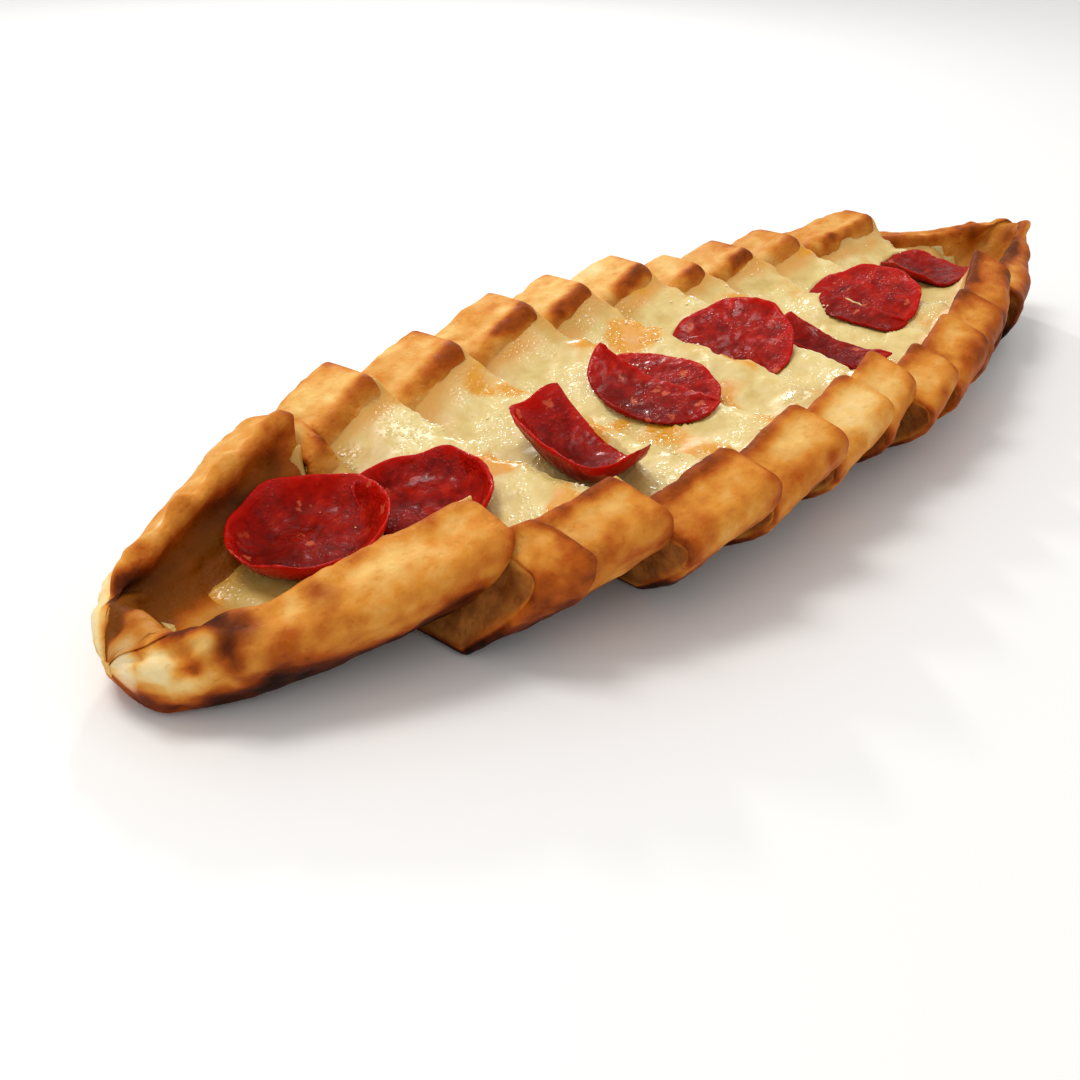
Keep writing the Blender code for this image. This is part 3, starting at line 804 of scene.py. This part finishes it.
def disc_middle(disc, reach, angle):
    """The middle of one curled disc at shares of its radius and angles round it.

    A wavy circle, cut off at the kept part's limits, is drawn in and up by the rim's bend, then by the
    left side's. Its ends rise as the square of the place along it. Last it is tilted, turned and moved.
    """
    radius, half_across = disc["radius"], disc["radius"] * disc.get("narrow", 1.0)
    lower, upper = np.clip(disc.get("kept", (-WHOLE, WHOLE)), -half_across, half_across)
    middle = 0.5 * (lower + upper)
    wavy = 1.0 + 0.018 * np.sin(5 * angle + disc["seed"])
    wavy = wavy + 0.012 * np.sin(9 * angle + 2 * disc["seed"])
    along = reach * radius * wavy * np.cos(angle)
    across = middle + reach * (np.clip(half_across * wavy * np.sin(angle), lower, upper) - middle)
    distance = np.hypot(along, across) + 1e-6
    out, rim_up = bent(distance, disc.get("rim", UNBENT))
    along, across = along * out / distance, across * out / distance
    left_out, left_up = bent(np.maximum(-across, 0.0), disc.get("left", UNBENT))
    x, y = np.maximum(across, 0.0) - left_out, along
    near, far = disc.get("ends", (0.0, 0.0))
    ruffle = 0.5 * reach**3 * np.sin(3 * angle + 1.7 * disc["seed"])
    ruffle = ruffle + 0.25 * reach**4 * np.sin(8 * angle)
    z = rim_up + left_up + ruffle + np.where(along < 0.0, near, far) * (along / radius) ** 2
    tilt, turn = np.radians(disc["tilt"]), np.radians(disc["turn"])
    x, z = x * np.cos(tilt) - z * np.sin(tilt), x * np.sin(tilt) + z * np.cos(tilt)
    x, y = x * np.cos(turn) - y * np.sin(turn), x * np.sin(turn) + y * np.cos(turn)
    return np.stack([x + disc["at"][0], y + disc["at"][1], z + disc["at"][2]], axis=-1)


DISC_ROUND = 216
DISC_THICKNESS = 1.3


def build_disc(disc, material):
    """One closed shell round the disc's middle: upper face, a rim like half a circle, under face."""
    angle = np.linspace(0.0, 2.0 * np.pi, DISC_ROUND, endpoint=False)[None]
    outward = np.concatenate([np.linspace(0.0, 0.9, 26), [0.93, 0.955, 0.975, 0.99, 1.0]])
    in_rim = np.clip((outward - 0.93) / 0.07, 0, 1)
    height = 0.5 * DISC_THICKNESS * np.sqrt(np.clip(1.0 - in_rim**2, 0, 1))
    height = height * (1.0 - 0.3 * outward**2)
    height = np.concatenate([height, -height[-2::-1]])[:, None]
    reach = np.concatenate([outward, outward[-2::-1]])[:, None]
    reach, angle = np.broadcast_arrays(reach, angle)
    middle = disc_middle(disc, reach, angle)
    nudge, turned = 0.01, 0.05
    outwards = disc_middle(disc, reach + nudge, angle) - middle
    safe = np.maximum(reach, nudge)
    sideways = disc_middle(disc, safe, angle + turned) - disc_middle(disc, safe, angle - turned)
    normal = np.cross(sideways, outwards)
    normal /= np.maximum(np.linalg.norm(normal, axis=-1, keepdims=True), 1e-9)
    bumps = 0.16 * layered(middle, 3.0, 2, 101) + 0.07 * wander(middle, 1.2, 103)
    bumps = bumps + 0.22 * reach**6 * wander(middle, 1.1, 107)
    points = middle + normal * (height + bumps * np.sign(height))[..., None]
    points[[0, -1]] = points[[0, -1]].mean(axis=1, keepdims=True)
    faces = grid_faces(np.arange(reach.size).reshape(reach.shape), wrap=True)
    # The lowest part of the disc is marked for the painted shade of its hollow.
    depth = middle[..., 2] - middle[..., 2].min()
    values = {"reach": reach.reshape(-1), "deep": np.exp(-depth / 3.5).reshape(-1)}
    name = "slice_of_" + disc["node"]
    return make_piece(name, points.reshape(-1, 3), faces, values, material, disc["node"])


def pepperoni(part, place, radius, tilt, turn, seed, **shape):
    """One curled disc: its middle in mm on the boat, its size, and its lean and turn in degrees.

    A bend is a flat stretch, the radius of its roll and its angle. Kept gives the limits across.
    """
    named = {"node": "pepperoni_" + part, "at": place, "radius": radius, "tilt": tilt, "turn": turn}
    return {**named, "seed": seed, **shape}


DISCS = (
    pepperoni("1", (49.8, -2.5, 14.2), 20.2, 9, 0, 1, rim=(8, 9, 60)),
    pepperoni("2", (71.7, -12, 17.7), 18.3, 12, 0, 2, kept=(-10, WHOLE), rim=(9, 6, 62)),
    pepperoni(
        "3", (112.8, -23, 20.4), 19.5, 20, -12, 3,
        kept=(-WHOLE, 5.5), rim=(14, 9, 40), left=(2, 8, 72), ends=(10, 10.5),
    ),
    pepperoni(
        "4_front", (147.7, -11.5, 26), 19.3, 26, 0, 4,
        kept=(-WHOLE, 1), narrow=0.74, left=(9, 7, 42), ends=(1, 5),
    ),
    pepperoni(
        "4_back", (157.5, -4.5, 20.8), 18, 20, 0, 5,
        kept=(-9, WHOLE), narrow=0.58, rim=(10, 30, 10),
    ),
    pepperoni("5", (189.7, -0.4, 19.7), 19.2, 34, 0, 6, kept=(-3, WHOLE), rim=(12, 30, 14)),
    pepperoni("6", (213.3, -19.3, 20.2), 17.7, 22, -4, 7, kept=(-6, 4), left=(2, 6, 60), ends=(2, 4)),
    pepperoni(
        "7_front", (239, -12.5, 24), 15.5, 26, -5, 8,
        kept=(-WHOLE, 1), narrow=0.5, left=(4, 6, 40),
    ),
    pepperoni(
        "7_back", (254.3, -3.2, 20.2), 18.3, 30, -5, 9,
        kept=(-8, WHOLE), narrow=0.84, rim=(11, 30, 10),
    ),
    pepperoni("8", (293.2, -1.9, 21.7), 14.6, 15, -8, 10, kept=(-WHOLE, 8), left=(4, 6, 55), ends=(1, 1)),
)


# Half-millimetre squares over the whole boat, and how far the table reaches to each side.
SQUARE = 0.5
TABLE_HALF = 1.25 * HALF_WIDTH


def squares(points):
    """The table's square under each point."""
    row = np.clip(points[..., 0], 0.0, LENGTH) / SQUARE
    column = np.clip(points[..., 1] + TABLE_HALF, 0.0, 2.0 * TABLE_HALF) / SQUARE
    return row.astype(int), column.astype(int)


def press_down(pieces):
    """Lowers cheese that would stand above a disc to just below the least height of its under face."""
    gap = 0.5 * DISC_THICKNESS + 0.25
    reach, angle = np.meshgrid(np.linspace(0.0, 0.97, 70), np.linspace(0.0, 2.0 * np.pi, 400))
    under = np.stack([disc_middle(disc, reach, angle) - [0.0, 0.0, gap] for disc in DISCS])
    table = np.full((int(LENGTH / SQUARE) + 1, int(2.0 * TABLE_HALF / SQUARE) + 1), np.inf)
    np.minimum.at(table, squares(under), under[..., 2])
    for piece in pieces:
        places = np.empty(len(piece.data.vertices) * 3, np.float32)
        piece.data.vertices.foreach_get("co", places)
        points = (places.reshape(-1, 3) - BOAT_IN_FRAME) / MM
        points[:, 2] = np.minimum(points[:, 2], table[squares(points)])
        places = (points * MM + BOAT_IN_FRAME).astype(np.float32)
        piece.data.vertices.foreach_set("co", places.reshape(-1))
        piece.data.update()


# ---------------------------------------------------------------------------------------------
# Beads of oil and cheese, most of them along the cheese's cut edges, pale as painted glints.
# ---------------------------------------------------------------------------------------------
BEAD_COUNT = 520
BEAD_RINGS = 6
BEAD_SIDES = 8


def scatter_beads(material):
    """Half-sunk balls, each a small grid of rings squeezed to a dome, moved to places drawn at random."""
    draw = np.random.default_rng(7)
    places, chance = np.concatenate(BEAD_PLACES), np.concatenate(BEAD_PULL)
    picked = draw.choice(len(places), BEAD_COUNT, replace=False, p=chance / chance.sum())
    size = 0.16 + 0.34 * draw.random(BEAD_COUNT) ** 3
    turns = np.linspace(0.0, 2.0 * np.pi, BEAD_SIDES + 1)[:-1]
    ring, around = np.meshgrid(np.linspace(0.0, np.pi, BEAD_RINGS), turns, indexing="ij")
    ball = [np.sin(ring) * np.cos(around), np.sin(ring) * np.sin(around), 0.7 * np.cos(ring)]
    ball = np.stack(ball, axis=-1)
    stretch = 1.0 + 0.5 * draw.random((BEAD_COUNT, 1, 1, 1)) * [1.0, -0.4, 0.0]
    points = places[picked][:, None, None] + ball[None] * stretch * size[:, None, None, None]
    index = np.arange(points.size // 3).reshape(BEAD_COUNT, BEAD_RINGS, BEAD_SIDES)
    index = np.concatenate([index, index[..., :1]], axis=2)
    corners = [index[:, :-1, :-1], index[:, 1:, :-1], index[:, 1:, 1:], index[:, :-1, 1:]]
    faces = np.stack(corners, axis=-1).reshape(-1, 4)
    make_piece("glinting_oil_beads", points.reshape(-1, 3), faces, {}, material)


# ---------------------------------------------------------------------------------------------
# Materials.
# ---------------------------------------------------------------------------------------------
def srgb(red, green, blue):
    """A colour from its screen values, 0 to 255, as linear light."""
    value = np.array([red, green, blue]) / 255.0
    linear = np.where(value <= 0.04045, value / 12.92, ((value + 0.055) / 1.055) ** 2.4)
    return (*[float(part) for part in linear], 1.0)


class Nodes:
    """Short ways to add and join the nodes of one tree. Each gives the new node or its output socket."""

    def __init__(self, tree):
        """Keeps the tree that the nodes go into."""
        self.tree = tree

    def add(self, kind, settings=None, **inputs):
        """A node of a kind, with its settings and the values or links of its inputs."""
        node = self.tree.nodes.new("ShaderNode" + kind)
        for name, value in (settings or {}).items():
            setattr(node, name, value)
        for name, value in inputs.items():
            self.put(node, name.replace("_", " "), value)
        return node

    def put(self, node, name, value):
        """Links a socket to an input, or sets the input to a number or colour."""
        socket = node.inputs[int(name)] if name.isdigit() else node.inputs[name]
        if isinstance(value, bpy.types.NodeSocket):
            self.tree.links.new(value, socket)
        else:
            socket.default_value = value

    def maths(self, operation, first, second, clamp=False):
        """One sum, difference, product or choice of two values, kept from 0 to 1 if clamped."""
        node = self.add("Math", {"operation": operation, "use_clamp": clamp})
        self.put(node, "0", first)
        self.put(node, "1", second)
        return node.outputs[0]

    def plus(self, first, second, clamp=False):
        """The sum of two values."""
        return self.maths("ADD", first, second, clamp)

    def minus(self, first, second):
        """The first value less the second."""
        return self.maths("SUBTRACT", first, second)

    def times(self, first, second, clamp=False):
        """The product of two values."""
        return self.maths("MULTIPLY", first, second, clamp)

    def mix(self, share, first, second):
        """The first colour at share 0, and the second at share 1."""
        node = self.add("Mix", {"data_type": "RGBA"})
        self.put(node, "0", share)
        self.put(node, "6", first)
        self.put(node, "7", second)
        return node.outputs[2]

    def ramp(self, value, *stops):
        """Colours at places from 0 to 1, blended between them."""
        node = self.add("ValToRGB", Fac=value)
        while len(node.color_ramp.elements) < len(stops):
            node.color_ramp.elements.new(0.5)
        for element, (place, colour) in zip(node.color_ramp.elements, stops):
            element.position, element.color = place, srgb(*colour)
        return node.outputs["Color"]

    def attribute(self, name):
        """A number that the mesh carries at each of its points."""
        return self.add("Attribute", {"attribute_name": name}).outputs["Fac"]

    def noise(self, place, scale, detail, roughness=0.5):
        """A cloudy value from 0 to 1, with so many clouds in a metre."""
        node = self.add("TexNoise", Vector=place, Scale=scale, Detail=detail, Roughness=roughness)
        return node.outputs["Fac"]

    def between(self, value, low, high):
        """0 at low, 1 at high, and smooth between them."""
        smooth = {"interpolation_type": "SMOOTHSTEP"}
        node = self.add("MapRange", smooth, Value=value, From_Min=low, From_Max=high)
        return node.outputs["Result"]

    def group(self, tree, **inputs):
        """A shared effect with its own values: its outputs."""
        return self.add("Group", {"node_tree": tree}, **inputs).outputs


def effect(name, inputs, outputs):
    """An empty node group with named inputs and outputs."""
    tree = bpy.data.node_groups.new(name, "ShaderNodeTree")
    for label, kind, value in inputs:
        tree.interface.new_socket(label, in_out="INPUT", socket_type=kind).default_value = value
    for label, kind in outputs:
        tree.interface.new_socket(label, in_out="OUTPUT", socket_type=kind)
    return tree, Nodes(tree), tree.nodes.new("NodeGroupInput"), tree.nodes.new("NodeGroupOutput")


def oven_grain():
    """Fine bumps and freckles of a baked skin, at a size in metres.

    Height is 0.6 of a fine cloud, half of a wide one and a quarter of small pits. Freckles are its peaks.
    """
    tree, nodes, given, out = effect(
        "oven grain",
        [("Size", "NodeSocketFloat", 0.002), ("Freckles", "NodeSocketFloat", 0.5)],
        [("Height", "NodeSocketFloat"), ("Freckle", "NodeSocketFloat")],
    )
    place = nodes.add("TexCoord").outputs["Object"]
    scale = nodes.maths("DIVIDE", 1.0, given.outputs["Size"])
    fine = nodes.noise(place, scale, 4.0, 0.62)
    wide = nodes.noise(place, nodes.times(scale, 0.3), 2.0)
    pits = nodes.add("TexVoronoi", Vector=place, Scale=nodes.times(scale, 0.8)).outputs["Distance"]
    height = nodes.plus(nodes.times(fine, 0.6), nodes.times(wide, 0.5))
    height = nodes.plus(height, nodes.times(nodes.between(pits, 0.05, 0.4), 0.25))
    freckle = nodes.times(nodes.between(fine, 0.55, 0.75), given.outputs["Freckles"])
    nodes.put(out, "Height", height)
    nodes.put(out, "Freckle", freckle)
    return tree


def wet_glints():
    """Small beads of oil: where they stand and how far they rise, at a size in metres.

    Wet is the clouds' upper part times the amount. Beads are the middles of soft cells, where it is wet.
    """
    tree, nodes, given, out = effect(
        "wet glints",
        [("Size", "NodeSocketFloat", 0.0015), ("Amount", "NodeSocketFloat", 0.5)],
        [("Height", "NodeSocketFloat"), ("Wet", "NodeSocketFloat")],
    )
    place = nodes.add("TexCoord").outputs["Object"]
    scale = nodes.maths("DIVIDE", 1.0, given.outputs["Size"])
    cells = nodes.add("TexVoronoi", {"feature": "SMOOTH_F1"}, Vector=place, Scale=scale)
    beads = nodes.between(cells.outputs["Distance"], 0.5, 0.1)
    patches = nodes.between(nodes.noise(place, nodes.times(scale, 0.12), 3.0), 0.42, 0.62)
    wet = nodes.times(patches, given.outputs["Amount"])
    nodes.put(out, "Height", nodes.times(beads, wet))
    nodes.put(out, "Wet", wet)
    return tree


OVEN_GRAIN = oven_grain()
WET_GLINTS = wet_glints()


def new_material(name):
    """A new material: itself, its nodes, its shader, and the place in the piece's own coordinates."""
    made = bpy.data.materials.new(name)
    made.use_nodes = True
    nodes = Nodes(made.node_tree)
    return made, nodes, made.node_tree.nodes["Principled BSDF"], nodes.add("TexCoord").outputs["Object"]


def bumpy(nodes, shader, strength, distance, height):
    """Joins a height to the shader's normal as a bump."""
    bump = nodes.add("Bump", Strength=strength, Distance=distance, Height=height)
    nodes.put(shader, "Normal", bump.outputs["Normal"])


def baked_dough():
    """Pale gold through caramel to nearly black as it is toasted and shaded; cream-brown crumb where cut
    open.

    Toast and shade is the attribute plus freckles and clouds. Oil, crumb, flour and burnt spots are laid
    over it.
    """
    made, nodes, shader, place = new_material("baked_dough")
    grain = nodes.group(OVEN_GRAIN, Size=0.0016, Freckles=0.5)
    cloud = nodes.noise(place, 160.0, 4.0, 0.6)
    uneven = nodes.minus(cloud, 0.5)
    # The attribute holds painted shade on the near walls, in the left slice's hollow and in the tip's
    # wrinkles, as well as toasting.
    toast_and_shade = nodes.plus(nodes.attribute("toast_and_shade"), nodes.times(grain["Freckle"], 0.10))
    toast_and_shade = nodes.plus(toast_and_shade, nodes.times(uneven, 0.34), clamp=True)
    colour = nodes.ramp(
        toast_and_shade,
        (0.0, (240, 214, 156)),
        (0.20, (232, 184, 104)),
        (0.40, (214, 138, 50)),
        (0.58, (176, 84, 20)),
        (0.76, (108, 42, 8)),
        (1.0, (36, 13, 4)),
    )
    oil = nodes.attribute("oil")
    colour = nodes.mix(nodes.times(oil, 0.5), colour, srgb(156, 84, 8))
    crumb = nodes.ramp(cloud, (0.3, (112, 56, 16)), (0.7, (178, 110, 46)))
    colour = nodes.mix(nodes.attribute("crumb"), colour, crumb)
    colour = nodes.mix(nodes.times(nodes.attribute("flour"), 0.8), colour, srgb(240, 220, 186))
    colour = nodes.mix(nodes.times(nodes.attribute("burnt"), 0.8), colour, srgb(62, 26, 8))
    rough = nodes.minus(0.56, nodes.times(oil, 0.16))
    nodes.put(shader, "Base Color", colour)
    nodes.put(shader, "Roughness", nodes.plus(rough, nodes.times(uneven, 0.25)))
    nodes.put(shader, "Specular IOR Level", 0.07)
    bumpy(nodes, shader, 0.8, 0.0007, grain["Height"])
    return made


def melted_cheese():
    """Pale cream-yellow, golden where thin or browned, olive-gold where oily and in the painted shade of
    the troughs, wet with small beads of oil.

    A clouded cream is mixed with the thin, the oily and shaded, and the browned colour, each by its
    attribute.
    """
    made, nodes, shader, place = new_material("melted_cheese")
    cloud = nodes.noise(place, 110.0, 5.0, 0.6)
    colour = nodes.ramp(cloud, (0.3, (200, 170, 90)), (0.5, (220, 196, 124)), (0.72, (236, 220, 164)))
    colour = nodes.mix(nodes.times(nodes.attribute("thin"), 0.9), colour, srgb(214, 150, 60))
    # Oil and painted shade: the troughs along the cuts take this olive-gold as well as the oily patches.
    colour = nodes.mix(nodes.times(nodes.attribute("oil_and_shade"), 0.7), colour, srgb(188, 148, 58))
    spots = nodes.between(nodes.noise(place, 420.0, 3.0), 0.15, 0.55)
    brown = nodes.times(nodes.times(nodes.attribute("brown"), 1.8), spots, clamp=True)
    colour = nodes.mix(nodes.times(brown, 0.95), colour, srgb(218, 148, 10))
    glints = nodes.group(WET_GLINTS, Size=0.0011, Amount=1.0)
    wet = nodes.maths("MAXIMUM", glints["Wet"], nodes.attribute("ridge"))
    nodes.put(shader, "Base Color", colour)
    nodes.put(shader, "Roughness", nodes.minus(0.40, nodes.times(wet, 0.24)))
    nodes.put(shader, "Subsurface Weight", 0.25)
    nodes.put(shader, "Subsurface Radius", (1.0, 0.75, 0.4))
    nodes.put(shader, "Subsurface Scale", 0.003)
    fine = nodes.noise(place, 700.0, 3.0)
    height = nodes.plus(nodes.times(glints["Height"], 0.5), nodes.times(fine, 0.15))
    bumpy(nodes, shader, 0.5, 0.0006, nodes.plus(height, nodes.times(cloud, 0.9)))
    return made


def cured_sausage():
    """Deep red, brighter at the rim and with painted shade darkening its hollow, with pale flecks of fat
    and oil.

    Fat is the middle of some cells, whose places waver. Oil shows as a coat on the beads and where wet.
    """
    made, nodes, shader, place = new_material("cured_sausage")
    cloud = nodes.noise(place, 260.0, 5.0, 0.65)
    colour = nodes.ramp(cloud, (0.3, (104, 8, 2)), (0.55, (166, 18, 4)), (0.75, (204, 46, 16)))
    rim = nodes.between(nodes.attribute("reach"), 0.72, 1.0)
    colour = nodes.mix(nodes.times(rim, 0.75), colour, srgb(196, 18, 5))
    # Painted shade: the hollow's lowest part is darkened.
    colour = nodes.mix(nodes.times(nodes.attribute("deep"), 0.7), colour, srgb(62, 9, 3))
    waver = nodes.add("TexNoise", Vector=place, Scale=500.0, Detail=2.0).outputs["Color"]
    moved = {"0": waver, "1": (0.004, 0.004, 0.004), "2": place}
    moved = nodes.add("VectorMath", {"operation": "MULTIPLY_ADD"}, **moved).outputs[0]
    cells = nodes.add("TexVoronoi", Vector=moved, Scale=230.0, Randomness=1.0).outputs
    chance = nodes.add("SeparateColor", Color=cells["Color"]).outputs[0]
    fat = nodes.between(cells["Distance"], 0.34, 0.2)
    fat = nodes.times(fat, nodes.between(chance, 0.72, 0.82))
    colour = nodes.mix(nodes.times(fat, 0.55), colour, srgb(214, 104, 66))
    glints = nodes.group(WET_GLINTS, Size=0.0009, Amount=1.0)
    shine = nodes.times(nodes.between(glints["Height"], 0.55, 0.95), 0.7)
    nodes.put(shader, "Base Color", colour)
    nodes.put(shader, "Roughness", nodes.minus(0.40, nodes.times(glints["Wet"], 0.18)))
    nodes.put(shader, "Specular IOR Level", 0.04)
    nodes.put(shader, "Coat Weight", nodes.maths("MAXIMUM", shine, nodes.times(glints["Wet"], 0.22)))
    nodes.put(shader, "Coat Roughness", 0.16)
    height = nodes.plus(nodes.times(glints["Height"], 0.8), nodes.times(cloud, 0.8))
    bumpy(nodes, shader, 0.5, 0.0006, height)
    return made


def glinting_oil_bead():
    """Clear golden oil on cheese, painted pale near-white as a highlight: smooth and wet, a little deeper
    in places.
    """
    made, nodes, shader, place = new_material("glinting_oil_bead")
    cloud = nodes.noise(place, 300.0, 2.0)
    # Painted highlight: the near-white colour stands for the glints of light on the small beads.
    nodes.put(shader, "Base Color", nodes.ramp(cloud, (0.35, (240, 212, 140)), (0.65, (255, 250, 226))))
    nodes.put(shader, "Roughness", nodes.times(cloud, 0.5))
    return made


def plain_floor():
    """Pale matt grey, the same all over."""
    made = bpy.data.materials.new("pale_floor")
    made.use_nodes = True
    shader = made.node_tree.nodes["Principled BSDF"]
    shader.inputs["Base Color"].default_value = (0.86, 0.855, 0.85, 1.0)
    shader.inputs["Roughness"].default_value = 0.45
    return made


# ---------------------------------------------------------------------------------------------
# Camera, light and floor.
# ---------------------------------------------------------------------------------------------
def set_camera():
    """A 40 mm lens to the near left of the bread and above it."""
    view = bpy.data.cameras.new("camera")
    view.lens, view.sensor_width, view.clip_start = 40.0, 36.0, 0.01
    camera = bpy.data.objects.new("camera", view)
    camera.location = (-0.24138, -0.18326, 0.14438)
    camera.rotation_euler = np.radians([59.3028, -1.2551, -44.1357])
    bpy.context.collection.objects.link(camera)
    bpy.context.scene.camera = camera


def soft_light(name, place, size, power, colour=(1.0, 1.0, 1.0)):
    """A square of light that faces the middle of the bread."""
    middle = Vector((0.0, 0.0, 0.02))
    lamp = bpy.data.lights.new(name, "AREA")
    lamp.size, lamp.energy, lamp.color = size, power, colour
    holder = bpy.data.objects.new(name, lamp)
    holder.location = place
    holder.rotation_euler = (middle - Vector(place)).to_track_quat("-Z", "Y").to_euler()
    bpy.context.collection.objects.link(holder)


def set_stage():
    """A wide pale floor under a bright even sky, a soft key light and a small light for the glints."""
    half = 6.0
    corners = [(-half, -half, 0), (half, -half, 0), (half, half, 0), (-half, half, 0)]
    data = bpy.data.meshes.new("floor")
    data.from_pydata(corners, [], [(0, 1, 2, 3)])
    data.materials.append(plain_floor())
    floor = bpy.data.objects.new("floor", data)
    bpy.context.collection.objects.link(floor)
    world = bpy.data.worlds.new("studio")
    world.use_nodes = True
    sky = world.node_tree.nodes["Background"]
    sky.inputs["Color"].default_value = (1.0, 0.995, 0.98, 1.0)
    sky.inputs["Strength"].default_value = 0.78
    bpy.context.scene.world = world
    bpy.context.scene.view_settings.view_transform = "Standard"
    soft_light("key", (-0.2, 0.35, 1.05), 0.4, 5.2, (1.0, 0.985, 0.96))
    soft_light("glint", (0.45, 0.75, 0.5), 0.09, 2.2)


set_camera()
set_stage()
DOUGH, CHEESE, SAUSAGE, GLINTING_OIL = baked_dough(), melted_cheese(), cured_sausage(), glinting_oil_bead()
melts = []
for slice_index in range(LAST + 1):
    build_dough(slice_index, DOUGH)
    melts.append(build_cheese(slice_index, CHEESE))
press_down(melts)
for curled in DISCS:
    build_disc(curled, SAUSAGE)
scatter_beads(GLINTING_OIL)
